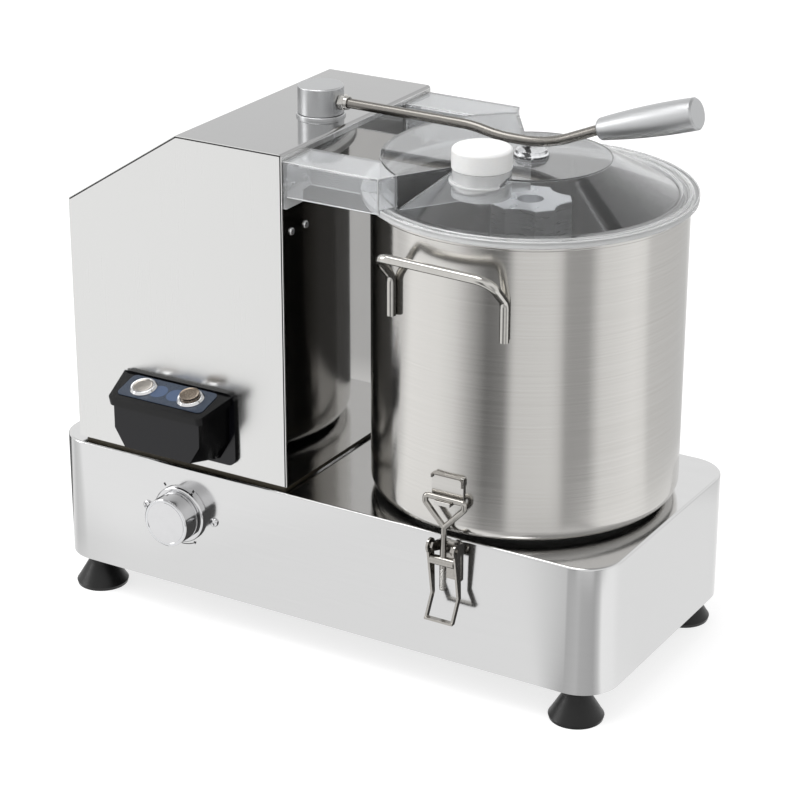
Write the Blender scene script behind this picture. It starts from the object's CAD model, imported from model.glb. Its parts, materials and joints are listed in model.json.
"""Looks of the bowl cutter: fine meshes and finishes for its pieces, the studio and the camera.

Lengths are in millimetres, in the part's own frame, and become metres when a mesh is made.
"""

import json
import math

import bmesh
import bpy
from mathutils import Matrix, Vector

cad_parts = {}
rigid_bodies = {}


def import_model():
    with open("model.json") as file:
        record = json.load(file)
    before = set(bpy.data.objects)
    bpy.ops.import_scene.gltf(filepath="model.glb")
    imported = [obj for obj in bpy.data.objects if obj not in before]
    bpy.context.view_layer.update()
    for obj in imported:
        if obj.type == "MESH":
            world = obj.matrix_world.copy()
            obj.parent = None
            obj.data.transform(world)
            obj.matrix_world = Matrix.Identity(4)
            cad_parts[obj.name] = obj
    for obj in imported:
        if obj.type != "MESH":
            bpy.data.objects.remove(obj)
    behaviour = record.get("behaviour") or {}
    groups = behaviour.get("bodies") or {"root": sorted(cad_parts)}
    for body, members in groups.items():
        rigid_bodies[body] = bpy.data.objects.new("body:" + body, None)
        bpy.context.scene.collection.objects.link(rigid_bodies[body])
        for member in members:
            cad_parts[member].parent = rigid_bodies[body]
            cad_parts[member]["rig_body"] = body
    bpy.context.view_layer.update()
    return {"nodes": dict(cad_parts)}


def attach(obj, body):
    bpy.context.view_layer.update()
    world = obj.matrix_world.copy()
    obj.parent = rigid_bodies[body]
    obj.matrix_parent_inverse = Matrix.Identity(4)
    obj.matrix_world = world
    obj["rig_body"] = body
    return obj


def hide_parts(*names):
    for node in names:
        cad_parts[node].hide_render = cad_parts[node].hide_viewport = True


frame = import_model()
nodes = frame["nodes"]
MM = 0.001

# Heights and centres that several pieces share.
bowl_x = 138.0
bowl_radius = 134.0
bowl_bottom = 153.0
bowl_top = 414.5
lid_seat = 414.8
flange_top = 420.8
step_top = 419.2
lid_top = 448.3
lid_wall = 3.0
column_top = 453.9
column_front = -122.5
lever_y = -6.0
hub_x = -65.0
feed_x, feed_y = 126.5, -64.0
knob_x, knob_z = -140.0, 104.0
base_front = -128.0


# ---- finishes --------------------------------------------------------------------------------
def linear(code):
    """The linear colour of an sRGB hex code."""
    parts = [int(code[i : i + 2], 16) / 255 for i in (1, 3, 5)]
    return tuple(c / 12.92 if c <= 0.04045 else ((c + 0.055) / 1.055) ** 2.4 for c in parts) + (1.0,)


def grey(level):
    return (level, level, level, 1.0)


def add(tree, kind, values=(), **settings):
    """Add a node; values are (input, number or socket) pairs."""
    node = tree.nodes.new(kind)
    for key, value in settings.items():
        setattr(node, key, value)
    for key, value in values:
        if isinstance(value, bpy.types.NodeSocket):
            tree.links.new(value, node.inputs[key])
        else:
            node.inputs[key].default_value = value
    return node


def finish(name, dark, light, roughness, size, depth, **numbers):
    """A finish whose tone, gloss and relief follow one grain.

    size is the grain's length in millimetres along X, Y and Z, depth its height in millimetres;
    numbers go to the shader's own sockets.
    """
    material = bpy.data.materials.new(name)
    material.use_nodes = True
    tree = material.node_tree
    tree.nodes.clear()
    where = add(tree, "ShaderNodeTexCoord")
    stretch = tuple(1 / (MM * length) for length in size)
    spread = add(tree, "ShaderNodeMapping", [("Vector", where.outputs["Object"]), ("Scale", stretch)])
    grain = add(
        tree, "ShaderNodeTexNoise", [("Vector", spread.outputs[0]), ("Scale", 1.0), ("Detail", 3.0)]
    )
    tone = add(
        tree,
        "ShaderNodeMix",
        [(0, grain.outputs["Fac"]), (6, linear(dark)), (7, linear(light))],
        data_type="RGBA",
    )
    gloss = add(
        tree,
        "ShaderNodeMapRange",
        [
            ("Value", grain.outputs["Fac"]),
            ("From Min", 0.3),
            ("From Max", 0.7),
            ("To Min", 0.85 * roughness),
            ("To Max", 1.15 * roughness),
        ],
    )
    relief = add(tree, "ShaderNodeBump", [("Height", grain.outputs["Fac"]), ("Distance", MM * depth)])
    shader = add(
        tree,
        "ShaderNodeBsdfPrincipled",
        [("Base Color", tone.outputs[2]), ("Roughness", gloss.outputs[0]), ("Normal", relief.outputs[0])],
    )
    for key, value in numbers.items():
        shader.inputs[key.replace("_", " ")].default_value = value
    add(tree, "ShaderNodeOutputMaterial", [("Surface", shader.outputs[0])])
    return material


def metal(name, dark, light, roughness, size, depth, lean=0.0, turn=0.0):
    """A bare metal.

    lean is how much narrower its reflections are along the grain than across, and turn the share of
    a full turn by which that grain lies off the mesh's tangent.
    """
    return finish(
        name, dark, light, roughness, size, depth, Metallic=1.0, Anisotropic=lean, Anisotropic_Rotation=turn
    )


# Bright-annealed stainless sheet with a fine upright grain: nearly a mirror, slightly veiled.
column_steel = metal("bright_annealed_sheet", "#dadad9", "#dededd", 0.24, (0.7, 0.7, 120), 0.0003)
# The folded top of the column, rolled smoother: it mirrors the hub.
top_steel = metal("smooth_rolled_sheet", "#a9a9a9", "#b0b0b0", 0.1, (60, 0.8, 0.8), 0.0004)
# The same sheet on the base, with its grain lying along the machine.
base_steel = metal("bright_annealed_base_sheet", "#d5d5d5", "#dbdbdb", 0.13, (60, 12, 0.8), 0.0004)
# Mirror-polished panel between column and bowl: it shows the lid above and the dark gap below.
mirror_steel = metal("mirror_polished_sheet", "#bebdbb", "#c6c5c3", 0.05, (40, 40, 40), 0.001)
# Spun stainless of the bowl and its catches: fine rings blur reflections up and down and keep
# them narrow sideways.
bowl_steel = metal("spun_stainless", "#cac8c4", "#dad8d5", 0.17, (120, 120, 0.9), 0.0004, 0.7, 0.25)
# Polished round bar of the handles, and the lever's lock nut: bright, with sharp highlights.
bar_steel = metal("polished_stainless_bar", "#bdbbb6", "#cdcbc7", 0.12, (3, 3, 3), 0.0006)
# Drawn, unpolished bar of the lid lever and the catches' beads: darker, with long soft highlights.
drawn_steel = metal("drawn_stainless_bar", "#7d7a76", "#8e8b86", 0.26, (40, 0.5, 0.5), 0.002)
# Pressed and tumbled stainless of the latches and catches.
latch_steel = metal("tumbled_stainless", "#a29f9a", "#b9b6b1", 0.15, (2, 2, 2), 0.003)
# Ground steel of the shafts, the spindle and the hooks' threads: grey, with a soft sheen.
ground_steel = metal("ground_steel", "#a8a7a4", "#c2c1be", 0.25, (16, 16, 0.8), 0.003)
# Honed stainless of the sickle blades: long scratches from the wheel.
blade_steel = metal("honed_blade_steel", "#b2b1ae", "#cbcac7", 0.2, (30, 0.8, 8), 0.003)
# Bead-blasted, clear-anodised aluminium of the lever's hub, washer and grip: silky, no mirror image.
satin_aluminium = metal("satin_anodised_aluminium", "#b9babb", "#c6c7c8", 0.36, (0.7, 0.7, 0.7), 0.002)
# Milled aluminium of the blade hub, with fine cutter marks.
milled_aluminium = metal("milled_aluminium", "#d6d7d9", "#e4e5e7", 0.3, (20, 20, 1.2), 0.001)
# Polished chrome plate of the knob, the buttons' bezels and the screws: a clean mirror.
chrome = metal("chrome_plate", "#d2d2d3", "#dadadb", 0.06, (8, 8, 8), 0.0006)
# Nickel-plated brass of the start button: warm and soft.
nickel = metal("nickel_plated_brass", "#9b9691", "#aba6a0", 0.2, (3, 3, 3), 0.001)
# Bronze-anodised aluminium of the stop button: browner and darker.
bronze = metal("bronze_anodised_aluminium", "#776c61", "#857a6e", 0.25, (3, 3, 3), 0.001)
# Machined grey iron of the pulleys and the bearing housing: dark and dull.
iron = metal("machined_grey_iron", "#5c5c5e", "#6c6c6e", 0.42, (8, 8, 1), 0.01)

# Turned face of the knob: rings left by the lathe, about 0.5 mm apart, fan the light into sectors.
turned_face = metal("turned_chrome_face", "#d9dadc", "#e0e1e3", 0.3, (2, 2, 2), 0.001, 0.85)
round_axis = add(turned_face.node_tree, "ShaderNodeTangent", direction_type="RADIAL", axis="Y")
turned_face.node_tree.links.new(
    round_axis.outputs[0], turned_face.node_tree.nodes["Principled BSDF"].inputs["Tangent"]
)

# Clear polycarbonate of the lid, moulded: glassy, lamps shine through it.
clear_plastic = finish(
    "clear_polycarbonate",
    "#eef0f2",
    "#f6f7f8",
    0.04,
    (40, 40, 40),
    0.01,
    IOR=1.58,
    Transmission_Weight=0.98,
)
# The same plastic on the arms, which hands and cloths rub: clear, with a veil of fine scratches.
scratched_plastic = finish(
    "scratched_polycarbonate",
    "#eef0f2",
    "#f8f9fa",
    0.06,
    (8, 8, 8),
    0.01,
    IOR=1.5,
    Transmission_Weight=0.85,
)
# The same plastic at its flange and its cut edges, which gather light: hazed white.
hazed_plastic = finish(
    "hazed_polycarbonate",
    "#f0f1f2",
    "#fafafa",
    0.12,
    (6, 6, 6),
    0.01,
    IOR=1.58,
    Transmission_Weight=0.55,
)
# White nylon stopper: turned, waxy, light sinks a little way in.
nylon = finish(
    "white_nylon",
    "#ececeb",
    "#f4f4f3",
    0.4,
    (3, 3, 0.8),
    0.006,
    IOR=1.53,
    Subsurface_Weight=0.2,
    Subsurface_Scale=0.004,
    Subsurface_Radius=(1.0, 0.9, 0.8),
)
# Black ABS moulding: deep black, with a faint moulding texture and a weak sheen.
black_abs = finish("black_abs", "#020203", "#050507", 0.2, (1.4, 1.4, 1.4), 0.002, IOR=1.3)
# The same moulding where the tool was polished, on the control box's front: it picks up more room light.
polished_abs = finish("polished_black_abs", "#08080d", "#0c0c12", 0.16, (1.4, 1.4, 1.4), 0.002, IOR=1.42)
# Printed polyester overlay: slate blue with a soft sheen.
blue_film = finish("printed_polyester_film", "#243040", "#2a374a", 0.3, (1.1, 1.1, 1.1), 0.002, IOR=1.45)
# Lighter patches of the same print beside the buttons.
pale_film = finish("pale_polyester_print", "#3c4e6b", "#445776", 0.32, (1.1, 1.1, 1.1), 0.002, IOR=1.45)
# Screen-printed black ink of the dial's plain marks, as dark as the column's open joint.
black_ink = finish("black_screen_ink", "#060606", "#0c0c0c", 0.45, (0.6, 0.6, 0.6), 0.002)
# Black nitrile rubber of the feet, the bowl's seat ring and the belt: matt, with a fine skin.
rubber = finish("black_nitrile_rubber", "#050505", "#0d0d0d", 0.38, (2.5, 2.5, 2.5), 0.01, IOR=1.45)
# Olive-brown rubber strip under the column: a dull, warm line.
olive_rubber = finish("olive_brown_rubber", "#463f30", "#514a3a", 0.5, (2.5, 2.5, 2.5), 0.01, IOR=1.5)
# Translucent silicone of the lid's seal: milky, without a highlight.
silicone = finish(
    "white_silicone", "#d9d9d6", "#e2e2df", 0.5, (2.5, 2.5, 2.5), 0.005, IOR=1.41, Transmission_Weight=0.3
)
# Dark enamel of the motor and the speed control, with orange peel.
enamel = finish("dark_motor_enamel", "#262a2d", "#303438", 0.35, (3.5, 3.5, 3.5), 0.02)


def let_lamps_through(material, share):
    """Rays from lamps pass the plastic, losing a little, so that the bowl's inside is lit."""
    tree = material.node_tree
    output = tree.nodes["Material Output"]
    plastic = output.inputs["Surface"].links[0].from_socket
    ray = add(tree, "ShaderNodeLightPath")
    open_way = add(tree, "ShaderNodeBsdfTransparent", [("Color", grey(share))])
    mixed = add(
        tree,
        "ShaderNodeMixShader",
        [(0, ray.outputs["Is Shadow Ray"]), (1, plastic), (2, open_way.outputs[0])],
    )
    tree.links.new(mixed.outputs[0], output.inputs["Surface"])


let_lamps_through(clear_plastic, 0.9)
let_lamps_through(scratched_plastic, 0.85)
let_lamps_through(hazed_plastic, 0.6)


# ---- mesh tools ------------------------------------------------------------------------------
UPRIGHT = Matrix()
# Drawn on the local XY plane, facing out of the front: local X runs right, local Y up.
FORWARD = Matrix(((1, 0, 0), (0, 0, -1), (0, 1, 0))).to_4x4()
# The same, facing the bowl's side.
RIGHTWARD = Matrix(((0, 0, 1), (1, 0, 0), (0, 1, 0))).to_4x4()
MIRROR_Y = Matrix.Diagonal((1, -1, 1, 1))


def at(x, y=0.0, z=0.0, turn=UPRIGHT):
    """A placement: turned first, then moved."""
    return Matrix.Translation((x, y, z)) @ turn


def rounded(corners, steps=6):
    """A closed outline: a corner (u, v, radius) becomes an arc, a corner (u, v) stays sharp."""
    points = []
    for i, corner in enumerate(corners):
        here = Vector(corner[:2])
        radius = corner[2] if len(corner) > 2 else 0
        if not radius:
            points.append(here)
            continue
        before = (Vector(corners[i - 1][:2]) - here).normalized()
        after = (Vector(corners[(i + 1) % len(corners)][:2]) - here).normalized()
        half = before.angle(after) / 2
        centre = here + (before + after).normalized() * (radius / math.sin(half))
        start = here + before * (radius / math.tan(half)) - centre
        way = -1 if before.x * after.y - before.y * after.x > 0 else 1
        for k in range(steps + 1):
            turn = Matrix.Rotation(way * (math.pi - 2 * half) * k / steps, 2)
            points.append(centre + turn @ start)
    return points


def lathe(bm, profile, place=UPRIGHT, segments=160):
    """Turn a closed (radius, height) outline about the local Z axis of place."""
    rings = []
    for radius, height in profile:
        count = segments if radius > 1e-6 else 1
        ring = []
        for k in range(count):
            angle = 2 * math.pi * k / segments
            point = Vector((radius * math.cos(angle), radius * math.sin(angle), height))
            ring.append(bm.verts.new(place @ point))
        rings.append(ring)
    for low, high in zip(rings, rings[1:] + rings[:1]):
        if len(low) == len(high) == 1:
            continue
        for k in range(segments):
            after = k + 1
            corners = [low[k % len(low)], low[after % len(low)]]
            corners += [high[after % len(high)], high[k % len(high)]]
            bm.faces.new(list(dict.fromkeys(corners)))


def slab(bm, outline, low, high, place=UPRIGHT):
    """Extrude a closed outline from low to high along the local Z axis of place."""
    floor = [bm.verts.new(place @ Vector((u, v, low))) for u, v in outline]
    roof = [bm.verts.new(place @ Vector((u, v, high))) for u, v in outline]
    count = len(outline)
    for k in range(count):
        bm.faces.new((floor[k], floor[(k + 1) % count], roof[(k + 1) % count], roof[k]))
    bm.faces.new(floor[::-1])
    bm.faces.new(roof)


def route(points, bend, steps=16):
    """Straight runs joined by arcs of the bend radius."""
    points = [Vector(p) for p in points]
    path = [points[0]]
    for before, here, after in zip(points, points[1:], points[2:]):
        a = (before - here).normalized()
        b = (after - here).normalized()
        half = a.angle(b) / 2
        radius = min(bend, math.tan(half) * min((before - here).length, (after - here).length) / 2)
        centre = here + (a + b).normalized() * (radius / math.sin(half))
        axis = a.cross(b).normalized()
        start = here + a * (radius / math.tan(half)) - centre
        for k in range(steps + 1):
            path.append(centre + Matrix.Rotation(-(math.pi - 2 * half) * k / steps, 3, axis) @ start)
    path.append(points[-1])
    return path


def wire(bm, path, radius, sides=32):
    """A round bar along a path, with a small chamfer at each end."""
    forward = [(b - a).normalized() for a, b in zip(path, path[1:])]
    between = [(a + b).normalized() for a, b in zip(forward, forward[1:])]
    tangents = [forward[0], *between, forward[-1]]
    chamfer = 0.15
    nose = radius * chamfer
    first, last = path[0], path[-1]
    path = [first, first + tangents[0] * nose, *path[1:-1], last - tangents[-1] * nose, last]
    tangents = [tangents[0], *tangents, tangents[-1]]
    shares = [1 - chamfer] + [1.0] * (len(path) - 2) + [1 - chamfer]
    side = tangents[0].orthogonal().normalized()
    rings = []
    for point, tangent, share in zip(path, tangents, shares):
        side = (side - tangent * side.dot(tangent)).normalized()
        other = tangent.cross(side)
        ring = []
        for k in range(sides):
            angle = 2 * math.pi * k / sides
            outward = side * math.cos(angle) + other * math.sin(angle)
            ring.append(bm.verts.new(point + outward * radius * share))
        rings.append(ring)
    for low, high in zip(rings, rings[1:]):
        for k in range(sides):
            bm.faces.new((low[k], low[(k + 1) % sides], high[(k + 1) % sides], high[k]))
    bm.faces.new(rings[0][::-1])
    bm.faces.new(rings[-1])


def soften(bm, width, angle=40, segments=3):
    """Round every edge sharper than angle degrees."""
    least = math.radians(angle)
    sharp = [e for e in bm.edges if len(e.link_faces) == 2 and e.calc_face_angle(0) > least]
    bmesh.ops.bevel(
        bm,
        geom=sharp,
        offset=width,
        segments=segments,
        profile=0.5,
        affect="EDGES",
        clamp_overlap=True,
    )


def drawn(draw, *shape):
    """A loose object, in millimetres, of one drawn shape: raw material for joining and cutting."""
    bm = bmesh.new()
    draw(bm, *shape)
    bmesh.ops.remove_doubles(bm, verts=bm.verts, dist=1e-5)
    bmesh.ops.recalc_face_normals(bm, faces=bm.faces)
    mesh = bpy.data.meshes.new("blank")
    bm.to_mesh(mesh)
    bm.free()
    made = bpy.data.objects.new("blank", mesh)
    bpy.context.scene.collection.objects.link(made)
    return made


def combine(blank, *steps):
    """Join and cut a loose object with others, in order, and drop them: steps are (how, tool)."""
    for how, tool in steps:
        change = blank.modifiers.new(how, "BOOLEAN")
        change.operation = how
        change.object = tool
        change.solver = "EXACT"
    graph = bpy.context.evaluated_depsgraph_get()
    result = bpy.data.meshes.new_from_object(blank.evaluated_get(graph))
    blank.modifiers.clear()
    blank.data = result
    for _, tool in steps:
        bpy.data.objects.remove(tool)
    return blank


def opened(blank):
    """The mesh of a loose object as a bmesh, without the object."""
    bm = bmesh.new()
    bm.from_mesh(blank.data)
    bpy.data.objects.remove(blank)
    return bm


def make_piece(name, bm, material, body, stands_for=(), crease=36):
    """Close a mesh drawn in millimetres into a named piece that rides on a body."""
    bmesh.ops.remove_doubles(bm, verts=bm.verts, dist=1e-4)
    bmesh.ops.recalc_face_normals(bm, faces=bm.faces)
    for face in bm.faces:
        face.smooth = True
    for edge in bm.edges:
        edge.smooth = len(edge.link_faces) == 2 and edge.calc_face_angle(0) < math.radians(crease)
    bmesh.ops.scale(bm, vec=(MM, MM, MM), verts=bm.verts)
    mesh = bpy.data.meshes.new(name)
    bm.to_mesh(mesh)
    bm.free()
    mesh.materials.append(material)
    made = bpy.data.objects.new(name, mesh)
    bpy.context.scene.collection.objects.link(made)
    flat = made.modifiers.new("flat faces stay flat", "WEIGHTED_NORMAL")
    flat.keep_sharp = True
    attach(made, body)
    if stands_for:
        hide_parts(*stands_for)
    return made


def skins(material, names, width=0.0, crease=36):
    """Merged copies of nodes' own meshes with soft edges, each standing for its node."""
    for name in names.split():
        bm = bmesh.new()
        bm.from_mesh(nodes[name].data)
        bmesh.ops.scale(bm, vec=(1 / MM, 1 / MM, 1 / MM), verts=bm.verts)
        bmesh.ops.remove_doubles(bm, verts=bm.verts, dist=2e-3)
        bmesh.ops.dissolve_limit(bm, angle_limit=math.radians(0.05), verts=bm.verts, edges=bm.edges)
        if width:
            soften(bm, width)
        made = make_piece(f"{name}_skin", bm, material, nodes[name]["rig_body"], (name,), crease)
    return made


def part_finish(piece, material, belongs):
    """Give a second finish to the faces of the first for which belongs(centre in mm, normal) holds."""
    mesh = piece.data
    mesh.materials.append(material)
    last = len(mesh.materials) - 1
    for face in mesh.polygons:
        if face.material_index == 0 and belongs(face.center / MM, face.normal):
            face.material_index = last


def row_of_fasteners():
    """A node tree that repeats one fastener along a straight row."""
    tree = bpy.data.node_groups.new("row_of_fasteners", "GeometryNodeTree")
    tree.interface.new_socket("Geometry", in_out="OUTPUT", socket_type="NodeSocketGeometry")
    for name, kind in (
        ("Fastener", "NodeSocketObject"),
        ("Count", "NodeSocketInt"),
        ("First", "NodeSocketVector"),
        ("Pitch", "NodeSocketVector"),
        ("Finish", "NodeSocketMaterial"),
    ):
        tree.interface.new_socket(name, in_out="INPUT", socket_type=kind)
    given = add(tree, "NodeGroupInput")
    line = add(
        tree,
        "GeometryNodeMeshLine",
        [
            ("Count", given.outputs["Count"]),
            ("Start Location", given.outputs["First"]),
            ("Offset", given.outputs["Pitch"]),
        ],
    )
    fastener = add(tree, "GeometryNodeObjectInfo", [("Object", given.outputs["Fastener"])])
    placed = add(
        tree,
        "GeometryNodeInstanceOnPoints",
        [("Points", line.outputs[0]), ("Instance", fastener.outputs["Geometry"])],
    )
    real = add(tree, "GeometryNodeRealizeInstances", [("Geometry", placed.outputs[0])])
    coated = add(
        tree,
        "GeometryNodeSetMaterial",
        [("Geometry", real.outputs[0]), ("Material", given.outputs["Finish"])],
    )
    add(tree, "NodeGroupOutput", [("Geometry", coated.outputs[0])])
    return tree


row_tree = row_of_fasteners()


def fasteners(name, fastener, count, first, pitch, material, body, stands_for=()):
    """A row of equal fasteners as one piece: first and pitch in millimetres."""
    holder = drawn(lambda bm: None)
    row = holder.modifiers.new("row", "NODES")
    row.node_group = row_tree
    given = {"Fastener": fastener, "Count": count, "First": first, "Pitch": pitch, "Finish": material}
    for socket in row_tree.interface.items_tree:
        if socket.in_out == "INPUT":
            row[socket.identifier] = given[socket.name]
    graph = bpy.context.evaluated_depsgraph_get()
    holder.data = bpy.data.meshes.new_from_object(holder.evaluated_get(graph))
    holder.modifiers.clear()
    make_piece(name, opened(holder), material, body, stands_for)
    bpy.data.objects.remove(fastener)


def cross_head(radius, height, facing):
    """A domed screw head with a cross recess, facing along the local Z axis."""
    dome = rounded([(0, 0), (radius, 0), (radius, height, height * 0.75), (0, height * 1.05)], 8)
    arm = radius * 0.62
    width = radius * 0.17
    deep = height * 0.25
    bars = [(-arm, -width), (arm, -width), (arm, width), (-arm, width)]
    turned = Matrix.Rotation(math.radians(35), 4, "Z")
    return combine(
        drawn(lathe, dome, facing, 40),
        ("DIFFERENCE", drawn(slab, bars, deep, 2 * height, facing @ turned)),
        ("DIFFERENCE", drawn(slab, [(v, u) for u, v in bars], deep, 2 * height, facing @ turned)),
    )


# ---- base and column -------------------------------------------------------------------------
skins(base_steel, "base_housing base_bottom_plate")
shell = skins(column_steel, "column_shell")
part_finish(shell, top_steel, lambda centre, normal: normal.z > 0.3 and centre.z > 379)
skins(mirror_steel, "column_side_panel")
skins(olive_rubber, "column_gasket")
skins(rubber, "bowl_seat_ring drive_belt")
skins(rubber, "foot_front_left foot_front_right foot_back_left foot_back_right")
skins(black_abs, "cable_gland", 0.4)


def column_seam():
    """The dark joint where the front panel tucks under the folded top."""
    width = 1.2
    out = 0.06
    sunk = 0.2
    # The panel's edge, in from the column's own: up the shoulder, along the top and down its side.
    inner = [(-251.9, 378.9), (-136.6, 452.6), (-31.4, 452.6), (-31.4, 153.6)]
    bm = bmesh.new()
    for (x0, z0), (x1, z1) in zip(inner, inner[1:]):
        along = (Vector((x1, z1)) - Vector((x0, z0))).normalized() * width / 2
        across = Vector((-along.y, along.x))
        strip = [
            Vector((x0, z0)) - along - across,
            Vector((x1, z1)) + along - across,
            Vector((x1, z1)) + along + across,
            Vector((x0, z0)) - along + across,
        ]
        slab(bm, strip, -column_front - sunk, -column_front + out, FORWARD)
    make_piece("column_front_seam", bm, black_ink, "machine")


column_seam()

panel_screw = cross_head(3.2, 1.6, RIGHTWARD)
fasteners(
    "column_panel_screws_skin",
    panel_screw,
    2,
    (-30.0, -109.0, 383.9),
    (0.0, 21.6, 0.0),
    chrome,
    "machine",
    ("column_panel_screws",),
)


# ---- drive and blades ------------------------------------------------------------------------
skins(ground_steel, "lever_spindle drive_shaft motor_shaft knob_shaft")
skins(iron, "bearing_housing driven_pulley motor_pulley")
skins(enamel, "motor speed_control")


def blade_hub():
    """A star of five flat-ended lobes with shallow flutes between, bored for sleeve and shaft."""
    low, high = 159.0, 409.0
    sleeve_top = 236.0
    shaft_top = 379.0
    reach = 34.5
    half_width = 8.6
    flute_depth = 28.6
    lobes = 5
    first = math.radians(31)
    pitch = 2 * math.pi / lobes
    corner = math.hypot(reach, half_width)
    spread = math.atan2(half_width, reach)
    chord = corner * math.sin(pitch / 2 - spread)
    sag = corner * math.cos(pitch / 2 - spread) - flute_depth
    bend = (chord**2 + sag**2) / (2 * sag)
    half = math.asin(chord / bend)
    half_steps = 7
    outline = []
    for i in range(lobes):
        turn = Matrix.Rotation(first + i * pitch, 2)
        outline += [turn @ Vector((reach, v)) for v in (-half_width, half_width)]
        middle = Matrix.Rotation(first + (i + 0.5) * pitch, 2)
        for k in range(1, 2 * half_steps):
            swing = half * (1 - k / half_steps)
            depth = flute_depth + bend * (1 - math.cos(swing))
            outline.append(middle @ Vector((depth, -bend * math.sin(swing))))
    recess = rounded([(0, high - 8), (11, high - 8), (11, high + 1), (0, high + 1)])
    collar = [(0, low - 1), (21, low - 1), (21, sleeve_top)]
    collar += [(9, sleeve_top), (9, shaft_top), (0, shaft_top)]
    hub = combine(
        drawn(slab, outline, low, high, at(bowl_x)),
        ("DIFFERENCE", drawn(lathe, recess, at(bowl_x), 64)),
        ("DIFFERENCE", drawn(lathe, collar, at(bowl_x), 64)),
    )
    bm = opened(hub)
    soften(bm, 0.8, 30)
    make_piece("blade_hub_skin", bm, milled_aluminium, "blade_assembly", ("blade_hub",), 25)


blade_hub()
skins(blade_steel, "blade_lower blade_upper", 0.3, 25)


# ---- bowl ------------------------------------------------------------------------------------
def bowl():
    """The spun pan with its rolled rim, and the sleeve welded in its middle."""
    wall = 1.5
    floor = bowl_bottom + 3.0
    rim = bowl_radius + 3.5
    rim_low = bowl_top - 3.4
    profile = [
        (18.5, bowl_bottom),
        (bowl_radius, bowl_bottom, 12),
        (bowl_radius, rim_low, 0.3),
        (rim, rim_low, 1.4),
        (rim, bowl_top, 1.4),
        (bowl_radius - wall, bowl_top, 0.4),
        (bowl_radius - wall, floor, 10.5),
        (20, floor, 1.5),
        (20, floor + 78, 0.6),
        (18.5, floor + 78),
    ]
    bm = bmesh.new()
    lathe(bm, rounded(profile, 10), at(bowl_x), 256)
    make_piece("bowl_skin", bm, bowl_steel, "machine", ("bowl",), 20)


bowl()
skins(bar_steel, "bowl_handle_front bowl_handle_back")
skins(bowl_steel, "bowl_catch_front bowl_catch_back", 0.35, 30)


def catch_bead(side, name):
    """The rolled top edge of a catch plate, turned down round its corners."""
    y = side * 137.0
    points = [(123.6, y, 205.0), (123.6, y, 208.6), (152.4, y, 208.6), (152.4, y, 201.0)]
    bm = bmesh.new()
    wire(bm, route(points, 3.0, 8), 1.0, 16)
    make_piece(f"catch_bead_{name}", bm, drawn_steel, "machine")


catch_bead(-1, "front")
catch_bead(1, "back")


# ---- lid -------------------------------------------------------------------------------------
def wedge(radius, inset, low, high):
    """The outline of the raised bridge: a sector open towards the column, its sides inset."""
    half = math.radians(57)
    tip = bowl_x - inset / math.sin(half)
    first = math.pi - half + math.asin(inset / radius)
    last = math.pi + half - math.asin(inset / radius)
    steps = 96
    arc = [first + (last - first) * k / steps for k in range(steps + 1)]
    outline = [(tip, 0.0)] + [(bowl_x + radius * math.cos(a), radius * math.sin(a)) for a in arc]
    return drawn(slab, outline, low, high)


def arm(side):
    """The hollow arm that reaches the column, open below, with its screw plate."""
    start = -29.7
    outer = 121.0
    inner = 78.0
    low = lid_top - 31.0
    step = 126.0
    half = math.radians(57)
    corner = (bowl_x - step * math.cos(half), step * math.sin(half))
    outline = [(start, outer), (62.0, outer), corner, (bowl_x, inner), (start, inner)]
    within = [
        (start + lid_wall, outer - lid_wall),
        (60.9, outer - lid_wall),
        (corner[0] - 1.6, corner[1] - 2.6),
        (bowl_x - 10, inner + lid_wall),
        (start + lid_wall, inner + lid_wall),
    ]
    turned = UPRIGHT if side > 0 else MIRROR_Y
    foot = [(start, 94.0), (start + lid_wall, 94.0), (start + lid_wall, outer), (start, outer)]
    screw_z = lid_top - 23.5
    steps = [
        ("DIFFERENCE", drawn(slab, within, low - 1, lid_top - lid_wall, turned)),
        ("UNION", drawn(slab, foot, low - 10.4, low + 2, turned)),
    ]
    for i in range(2):
        y = side * (outer - 12.0 - 21.6 * i)
        bore = rounded([(0, -4), (3, -4), (3, 8), (0, 8)])
        steps.append(("DIFFERENCE", drawn(lathe, bore, at(start, y, screw_z, RIGHTWARD), 32)))
    well = [(0, low - 30), (step - 1, low - 30), (step - 1, lid_top + 5), (0, lid_top + 5)]
    steps.append(("DIFFERENCE", drawn(lathe, well, at(bowl_x), 256)))
    return combine(drawn(slab, outline, low, lid_top, turned), *steps)


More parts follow.
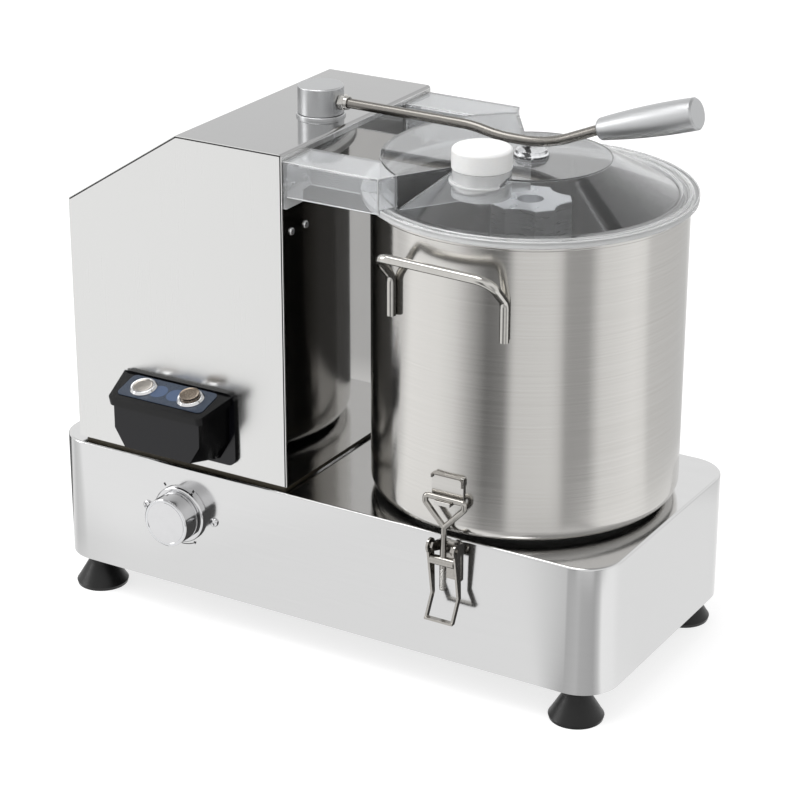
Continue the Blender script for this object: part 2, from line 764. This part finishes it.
def lid():
    """Ring, cone and plate turned in one piece, with the raised bridge, two arms and feed tube."""
    bore = bowl_radius - 1.5
    skirt = bore - 0.6
    under = lid_top - lid_wall
    flange = 141.0
    step = 126.0
    profile = [
        (0, lid_top),
        (68, lid_top, 1.0),
        (124, step_top, 1.0),
        (step, step_top, 0.5),
        (step, flange_top, 0.6),
        (133, flange_top, 0.4),
        (133.8, flange_top - 0.8, 0.3),
        (134.8, flange_top - 0.8, 0.3),
        (135.6, flange_top, 0.4),
        (flange, flange_top, 1.2),
        (flange, lid_seat, 1.0),
        (bore + 2.9, lid_seat),
        (bore + 2.9, lid_seat + 2.0),
        (bore + 0.1, lid_seat + 2.0),
        (bore + 0.1, lid_seat),
        (skirt, lid_seat),
        (skirt, lid_seat - 6.5, 0.6),
        (skirt - 2.5, lid_seat - 6.5, 0.6),
        (skirt - 2.5, lid_seat + 1.5),
        (122, lid_seat + 1.5, 1.0),
        (67, under, 1.0),
        (0, under),
    ]
    low = step_top - lid_wall

    def reach(point):
        return math.hypot(point.x - bowl_x, point.y)

    bridge = combine(
        wedge(step, 0.0, low, lid_top),
        ("DIFFERENCE", wedge(step - lid_wall, lid_wall, low - 8, under)),
    )
    boss = [
        (0, lid_top - 1),
        (15, lid_top - 1),
        (15, lid_top + 2, 0.6),
        (12.9, lid_top + 5.8, 2.0),
        (7.5, lid_top + 8.7, 2.0),
        (3.7, lid_top + 9.4, 0.5),
        (0, lid_top + 9.4),
    ]
    tube_low = lid_top - 19.9
    tube_top = lid_top + 4.8
    bead = lid_top - 7.4
    tube = [
        (0, tube_low),
        (24.6, tube_low, 0.6),
        (24.6, bead),
        (27.4, bead, 0.9),
        (27.4, bead + 2.6, 0.9),
        (24.6, bead + 2.6),
        (24.6, tube_top, 0.6),
        (0, tube_top),
    ]
    hole = [(0, tube_low - 20), (22.4, tube_low - 20), (22.4, tube_top + 1), (0, tube_top + 1)]
    whole = combine(
        drawn(lathe, rounded(profile, 5), at(bowl_x), 256),
        ("DIFFERENCE", wedge(step - lid_wall, lid_wall, lid_seat - 8, under)),
        ("UNION", bridge),
        ("UNION", arm(-1)),
        ("UNION", arm(1)),
        ("UNION", drawn(lathe, rounded(boss, 5), at(bowl_x), 64)),
        ("UNION", drawn(lathe, rounded(tube, 5), at(feed_x, feed_y), 96)),
        ("DIFFERENCE", drawn(lathe, hole, at(feed_x, feed_y), 96)),
    )
    bm = opened(whole)
    bmesh.ops.remove_doubles(bm, verts=bm.verts, dist=1e-3)
    bmesh.ops.dissolve_limit(bm, angle_limit=math.radians(0.3), verts=bm.verts, edges=bm.edges)

    def cut_edge(edge):
        """A sharp outer edge of the bridge or an arm."""
        ends = [v.co for v in edge.verts]
        middle = (ends[0] + ends[1]) / 2
        off_boss = reach(middle) > 20
        off_tube = math.hypot(middle.x - feed_x, middle.y - feed_y) > 30
        return (
            len(edge.link_faces) == 2
            and edge.is_convex
            and edge.calc_face_angle(0) > math.radians(24)
            and (ends[0] - ends[1]).length > 0.6
            and all(end.z > low - 5 for end in ends)
            and any(reach(end) > step + 0.2 or end.z > step_top + 3 for end in ends)
            and off_boss
            and off_tube
            and not (middle.z < flange_top + 0.1 and middle.x > 20)
        )

    edges = [edge for edge in bm.edges if cut_edge(edge)]
    # The chamfers take the second finish that the lid is given below: hazed.
    bmesh.ops.bevel(
        bm, geom=edges, offset=0.55, segments=1, material=1, affect="EDGES", clamp_overlap=False
    )
    def outside_cone(centre, normal):
        return reach(centre) > step - 0.5

    def on_flange(centre, normal):
        return outside_cone(centre, normal) and centre.z < flange_top + 0.2

    def on_tube(centre, normal):
        return math.hypot(centre.x - feed_x, centre.y - feed_y) < 28

    made = make_piece("lid_skin", bm, clear_plastic, "machine", ("lid",), 19)
    part_finish(made, hazed_plastic, on_flange)
    part_finish(made, scratched_plastic, outside_cone)
    part_finish(made, hazed_plastic, on_tube)


lid()
skins(silicone, "lid_seal")


def plug():
    """The nylon stopper: a thick cap with a soft edge, and a stem with a chamfered foot."""
    cap_low = lid_top + 5.0
    cap_top = lid_top + 22.8
    foot = lid_top - 18.5
    profile = [
        (0, foot),
        (22.1, foot, 1.5),
        (22.1, cap_low),
        (25.1, cap_low, 0.8),
        (25.1, cap_top, 3.2),
        (0, cap_top),
    ]
    bm = bmesh.new()
    lathe(bm, rounded(profile, 8), at(feed_x, feed_y), 128)
    make_piece("feed_plug_skin", bm, nylon, "plug", ("feed_plug",), 25)


plug()


# ---- lid lever -------------------------------------------------------------------------------
rod_z = 468.5
hub_radius = 20.2


def lever():
    """The round hub with its bores, the washer it turns on, and the bent bar."""
    hub_low = 456.7
    hub_high = 481.2
    profile = [
        (6.1, hub_low),
        (hub_radius, hub_low, 0.6),
        (hub_radius, hub_high, 1.4),
        (0, hub_high),
        (0, hub_low + 18),
        (6.1, hub_low + 18),
    ]
    hole = rounded([(0, 8), (4.35, 8), (4.35, 30), (0, 30)])
    hub = combine(
        drawn(lathe, rounded(profile, 6), at(hub_x, lever_y), 128),
        ("DIFFERENCE", drawn(lathe, hole, at(hub_x, lever_y, rod_z, RIGHTWARD), 48)),
    )
    make_piece("lever_hub_skin", opened(hub), satin_aluminium, "lid_lever", ("lever_hub",), 20)
    washer_top = column_top + 2.6
    washer = [(6.1, column_top), (21.6, column_top), (21.6, washer_top, 0.8), (6.1, washer_top)]
    bm = bmesh.new()
    lathe(bm, rounded(washer), at(hub_x, lever_y), 128)
    washer_body = nodes["lever_washer"]["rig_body"]
    make_piece("lever_washer_skin", bm, satin_aluminium, washer_body, ("lever_washer",), 20)
    tilt = math.radians(17)
    start = Vector((203.0, lever_y, 482.3))
    end = start + Vector((math.cos(tilt), 0, math.sin(tilt))) * 55
    points = [
        (hub_x + 8.5, lever_y, rod_z),
        (84, lever_y, rod_z - 0.8),
        (112, lever_y, 462.3),
        (156, lever_y, 462.3),
        start,
        end,
    ]
    bm = bmesh.new()
    wire(bm, route(points, 120), 4.3)
    make_piece("lever_rod_skin", bm, drawn_steel, "lid_lever", ("lever_rod",), 30)


def lock_nut():
    """A hex lock nut against the hub and its round collar."""
    start = hub_x + hub_radius
    angles = [math.pi * k / 3 for k in range(6)]
    corners = [(7.2 * math.cos(a), 7.2 * math.sin(a)) for a in angles]
    collar = rounded([(4.35, 5), (6.2, 5), (6.2, 8.6, 0.8), (4.35, 8.6)])
    bore = [(0, -1), (4.35, -1), (4.35, 10), (0, 10)]
    frame_x = at(start, lever_y, rod_z, RIGHTWARD)
    made = combine(
        drawn(slab, corners, 0.0, 5.4, frame_x),
        ("UNION", drawn(lathe, collar, frame_x, 48)),
        ("DIFFERENCE", drawn(lathe, bore, frame_x, 48)),
    )
    bm = opened(made)
    soften(bm, 0.3, 50)
    make_piece("lever_nut_skin", bm, bar_steel, "lid_lever", ("lever_nut",), 25)


lever()
lock_nut()
skins(satin_aluminium, "lever_grip", 0.0, 20)


# ---- toggle latches --------------------------------------------------------------------------
skins(latch_steel, "latch_bracket_front latch_bracket_back latch_lever_front latch_lever_back", 0.3, 30)
skins(latch_steel, "latch_barrel_front latch_barrel_back")
skins(latch_steel, "latch_hook_front latch_hook_back")


def hook_thread(side, name):
    """The threaded tail under the barrel: ridges at the thread's pitch along the hook's own line."""
    barrel = Vector((bowl_x, side * 142.0, 132.9))
    bar = Vector((bowl_x, side * 140.1, 189.4))
    up_hook = (bar - barrel).normalized()
    count = 20
    pitch = 0.95
    length_below = 24.6
    turned = up_hook.to_track_quat("Z", "Y").to_matrix().to_4x4()
    ridge = [(2.3, -0.42), (2.95, 0.0, 0.1), (2.3, 0.42)]
    first = barrel - up_hook * length_below
    fasteners(
        f"hook_thread_{name}",
        drawn(lathe, rounded(ridge, 2), turned, 24),
        count,
        first,
        up_hook * pitch,
        ground_steel,
        f"{name}_hook",
    )


hook_thread(-1, "front")
hook_thread(1, "back")


# ---- push-button control box -----------------------------------------------------------------
box = skins(black_abs, "control_box", 0.5, 30)
part_finish(box, polished_abs, lambda centre, normal: normal.y < -0.85 and centre.z < 205)
skins(blue_film, "control_overlay")
button_pitch = 50.0
slope = math.atan2(10.0, 37.5)
film = at(knob_x, -141.25, 220.9, Matrix.Rotation(slope, 4, "X")) @ Matrix.Translation((0, 0, 4.2))


def push_button(name, side, rise, cap_finish):
    """A bevelled bezel on the film, and a cap with a dished top that stands rise above the film."""
    axis = film @ Matrix.Translation((side * button_pitch / 2, 0, 0))
    bezel = [
        (9.2, -13, 0.3),
        (10.8, -13, 0.3),
        (10.8, 0),
        (12.4, 0),
        (12.4, 0.9, 0.3),
        (10.9, 3.0, 0.5),
        (9.2, 3.2, 0.4),
    ]
    bm = bmesh.new()
    lathe(bm, rounded(bezel, 5), axis, 96)
    make_piece(f"{name}_ring_skin", bm, chrome, "machine", (f"{name}_ring",), 30)
    cap = [
        (0, -1.8),
        (9.0, -1.8, 0.3),
        (9.0, rise - 0.1, 0.5),
        (8.2, rise, 0.3),
        (7.2, rise - 0.35, 0.6),
        (0, rise - 0.75),
    ]
    bm = bmesh.new()
    lathe(bm, rounded(cap, 5), axis, 96)
    make_piece(f"{name}_skin", bm, cap_finish, nodes[name]["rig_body"], (name,), 25)


push_button("start_button", -1, 3.4, nickel)
push_button("stop_button", 1, 6.5, bronze)


def overlay_patches():
    """The print's pale ovals beside the buttons, a hair thick on the film."""
    bm = bmesh.new()
    for side in (-1, 1):
        angles = [2 * math.pi * k / 40 for k in range(40)]
        outline = [(side * 8.9 + 8.3 * math.cos(a), 8.3 * math.sin(a)) for a in angles]
        slab(bm, outline, -0.1, 0.1, film)
    make_piece("overlay_patches", bm, pale_film, "machine")


overlay_patches()


# ---- speed knob ------------------------------------------------------------------------------
def knob():
    """A turned chrome knob with a waist groove, a bevel and a slightly dished face."""
    back = 132.7
    front = 152.2
    profile = [
        (3.1, back),
        (22.4, back, 0.4),
        (22.4, back + 2.2, 0.3),
        (21.6, back + 2.4, 0.2),
        (21.6, back + 3.4, 0.2),
        (22.4, back + 3.6, 0.3),
        (22.4, front - 1.0, 0.3),
        (21.4, front, 0.3),
        (19.8, front, 0.2),
        (19.2, front - 0.35),
        (0, front - 0.35),
        (0, front - 6),
        (3.1, front - 6),
    ]
    bm = bmesh.new()
    lathe(bm, rounded(profile, 4), at(knob_x, 0, knob_z, FORWARD), 160)
    made = make_piece("speed_knob_skin", bm, chrome, "knob", ("speed_knob",), 25)
    part_finish(made, turned_face, lambda centre, normal: normal.y < -0.95 and centre.y < 0.2 - front)
    ring = [(6.1, 128), (26.4, 128), (26.4, 132.4, 2.2), (6.1, 132.4)]
    bm = bmesh.new()
    lathe(bm, rounded(ring, 8), at(knob_x, 0, knob_z, FORWARD), 160)
    make_piece("knob_ring_skin", bm, chrome, "machine", ("knob_ring",), 25)


knob()


def dial_marks():
    """Two plain ticks over the knob and a curved arrow under it, printed on the base."""
    bm = bmesh.new()
    dial = at(knob_x, 0, knob_z, FORWARD)
    ink = 0.06
    tick = [(-1.5, -1), (1.5, -1), (1.5, 1), (-1.5, 1)]
    shapes = []
    for degrees, radius in ((123.3, 29.7), (59.8, 28.4)):
        turned = Matrix.Rotation(math.radians(degrees), 2)
        shapes.append([turned @ Vector((radius + u, v)) for u, v in tick])
    ways = [Vector((math.cos(a), math.sin(a))) for a in (math.radians(-90 + 2 * k) for k in range(15))]
    shapes.append([way * 28.9 for way in reversed(ways)] + [way * 29.7 for way in ways])
    head = ((-1.08, 27.6), (-1.08, 31.0), (-0.98, 29.3))
    shapes.append([Vector((math.cos(a), math.sin(a))) * radius for a, radius in head])
    for outline in shapes:
        slab(bm, outline, -base_front - 0.1, ink - base_front, dial)
    make_piece("dial_marks", bm, black_ink, "machine")


dial_marks()

fasteners(
    "knob_screws_skin",
    cross_head(4.2, 2.2, FORWARD),
    2,
    (knob_x - 36.0, base_front, knob_z),
    (72.0, 0.0, 0.0),
    chrome,
    "machine",
    ("knob_screws",),
)


# ---- studio ----------------------------------------------------------------------------------
# How bright the room looks in the metal, by direction round the bowl in degrees: strip lights
# with dark flags between them, and the dark gap on the column's side.
STRIPS = [
    (-180, 0.10),
    (-177, 0.10),
    (-174, 0.95),
    (-165, 0.70),
    (-157, 0.80),
    (-150, 1.05),
    (-124, 1.00),
    (-112, 0.86),
    (-99, 0.45),
    (-89, 0.17),
    (-77, 0.26),
    (-71, 0.78),
    (-46, 0.84),
    (-41, 0.76),
    (-36, 0.42),
    (-21, 0.42),
    (-12, 0.84),
    (15, 1.00),
    (24, 0.95),
    (30, 0.72),
    (85, 0.62),
    (110, 0.90),
    (140, 0.85),
    (152, 0.40),
    (168, 0.30),
    (180, 0.10),
]

# The same close to the base, by direction round the axis of its front right corner.
corner_x, corner_y = 246.0, -94.0
CORNER_STRIPS = [
    (-180, 0.95),
    (-121, 0.95),
    (-116, 0.78),
    (-108, 0.53),
    (-78, 0.60),
    (-70, 0.53),
    (-36, 0.48),
    (-24, 0.68),
    (-14, 1.08),
    (20, 1.05),
    (40, 0.98),
    (60, 0.92),
    (180, 0.95),
]


def level_by_direction(ramp, levels):
    """Set a colour ramp to grey levels, given by direction in degrees."""
    marks = ramp.elements
    for degrees, _ in levels[1:-1]:
        marks.new(degrees / 360 + 0.5)
    for mark, (degrees, level) in zip(marks, levels):
        mark.position = degrees / 360 + 0.5
        mark.color = grey(level)


def sweep_paper():
    """White sweep: pure white where it is looked at, strip-lit where metal mirrors it from afar."""
    material = bpy.data.materials.new("white_sweep")
    material.use_nodes = True
    tree = material.node_tree
    tree.nodes.clear()
    where = add(tree, "ShaderNodeTexCoord")
    centred = add(
        tree, "ShaderNodeMapping", [("Vector", where.outputs["Object"]), ("Location", (-MM * bowl_x, 0, 0))]
    )
    turn = add(tree, "ShaderNodeTexGradient", [("Vector", centred.outputs[0])], gradient_type="RADIAL")
    strips = add(tree, "ShaderNodeValToRGB", [("Fac", turn.outputs["Fac"])])
    level_by_direction(strips.color_ramp, STRIPS)
    from_corner = (-MM * corner_x, -MM * corner_y, 0)
    by_corner = add(
        tree, "ShaderNodeMapping", [("Vector", where.outputs["Object"]), ("Location", from_corner)]
    )
    corner_turn = add(
        tree, "ShaderNodeTexGradient", [("Vector", by_corner.outputs[0])], gradient_type="RADIAL"
    )
    corner_strips = add(tree, "ShaderNodeValToRGB", [("Fac", corner_turn.outputs["Fac"])])
    level_by_direction(corner_strips.color_ramp, CORNER_STRIPS)
    reach = add(tree, "ShaderNodeVectorMath", [(0, centred.outputs[0])], operation="LENGTH")
    far = add(
        tree,
        "ShaderNodeMapRange",
        [("Value", reach.outputs["Value"]), ("From Min", 0.42), ("From Max", 0.52)],
    )
    room = add(
        tree,
        "ShaderNodeMix",
        [(0, far.outputs[0]), (6, corner_strips.outputs[0]), (7, strips.outputs[0])],
        data_type="RGBA",
    )
    ray = add(tree, "ShaderNodeLightPath")
    paper = add(tree, "ShaderNodeBsdfDiffuse", [("Color", grey(0.45))])
    white = add(tree, "ShaderNodeEmission", [("Color", grey(1.0)), ("Strength", 0.74)])
    kept_shadow = add(tree, "ShaderNodeAddShader", [(0, paper.outputs[0]), (1, white.outputs[0])])
    again = add(
        tree, "ShaderNodeMath", [(0, ray.outputs["Ray Depth"]), (1, 1.5)], operation="GREATER_THAN"
    )
    deep = add(
        tree, "ShaderNodeMix", [(0, again.outputs[0]), (6, room.outputs[2]), (7, grey(0.1))], data_type="RGBA"
    )
    mirrored = add(tree, "ShaderNodeEmission", [("Color", deep.outputs[2]), ("Strength", 1.05)])
    seen = add(
        tree,
        "ShaderNodeMath",
        [(0, ray.outputs["Is Camera Ray"]), (1, ray.outputs["Is Transmission Ray"])],
        operation="MAXIMUM",
    )
    looked = add(
        tree,
        "ShaderNodeMixShader",
        [(0, seen.outputs[0]), (1, paper.outputs[0]), (2, kept_shadow.outputs[0])],
    )
    surface = add(
        tree,
        "ShaderNodeMixShader",
        [(0, ray.outputs["Is Glossy Ray"]), (1, looked.outputs[0]), (2, mirrored.outputs[0])],
    )
    add(tree, "ShaderNodeOutputMaterial", [("Surface", surface.outputs[0])])
    return material


def floor():
    """The sweep the machine stands on, wide enough to be all that low reflections meet."""
    bm = bmesh.new()
    bmesh.ops.create_grid(bm, x_segments=1, y_segments=1, size=6)
    mesh = bpy.data.meshes.new("floor")
    bm.to_mesh(mesh)
    bm.free()
    mesh.materials.append(sweep_paper())
    made = bpy.data.objects.new("floor", mesh)
    bpy.context.scene.collection.objects.link(made)


def room_light():
    """White to the eye, and greyer towards the ceiling where metal mirrors it."""
    world = bpy.data.worlds.new("studio")
    bpy.context.scene.world = world
    world.use_nodes = True
    tree = world.node_tree
    tree.nodes.clear()
    where = add(tree, "ShaderNodeTexCoord")
    split = add(tree, "ShaderNodeSeparateXYZ", [(0, where.outputs["Generated"])])
    ceiling = add(tree, "ShaderNodeValToRGB", [("Fac", split.outputs["Z"])])
    marks = ceiling.color_ramp.elements
    marks[0].color = grey(1.0)
    marks[0].position = 0.0
    marks[1].color = grey(0.45)
    marks[1].position = 0.9
    middle = marks.new(0.45)
    middle.color = grey(1.0)
    ray = add(tree, "ShaderNodeLightPath")
    seen = add(
        tree,
        "ShaderNodeMix",
        [(0, ray.outputs["Is Camera Ray"]), (6, ceiling.outputs[0]), (7, grey(1.0))],
        data_type="RGBA",
    )
    sky = add(tree, "ShaderNodeBackground", [("Color", seen.outputs[2]), ("Strength", 1.0)])
    add(tree, "ShaderNodeOutputWorld", [("Surface", sky.outputs[0])])


def lamp(name, place, aim, size, power):
    """A soft box of a size in metres, turned to its aim, of a power in watts."""
    data = bpy.data.lights.new(name, "AREA")
    data.shape = "RECTANGLE"
    data.size, data.size_y = size
    data.energy = power
    made = bpy.data.objects.new(name, data)
    made.location = place
    made.rotation_mode = "QUATERNION"
    made.rotation_quaternion = (Vector(aim) - Vector(place)).to_track_quat("-Z", "Y")
    bpy.context.scene.collection.objects.link(made)


floor()
room_light()
lamp("overhead_softbox", (-0.3, -0.6, 2.2), (0, 0, 0.2), (1.6, 1.2), 22)
lamp("left_softbox", (-2.0, -1.2, 1.2), (0, 0, 0.25), (0.9, 1.4), 12)

camera = bpy.data.objects.new("camera", bpy.data.cameras.new("camera"))
right = Vector((0.859593, 0.510976, 0.001804))
up = Vector((-0.199147, 0.331759, 0.922104))
back = Vector((0.470575, -0.792994, 0.386937))
turned = Matrix((right, up, back)).transposed().to_4x4()
camera.matrix_world = Matrix.Translation((1.09179, -1.82043, 1.08867)) @ turned
camera.data.lens = 115.93
camera.data.sensor_width = 36
camera.data.clip_start = 0.05
camera.data.clip_end = 50
bpy.context.scene.collection.objects.link(camera)
bpy.context.scene.camera = camera
bpy.context.scene.view_settings.view_transform = "Standard"

bpy.context.view_layer.update()
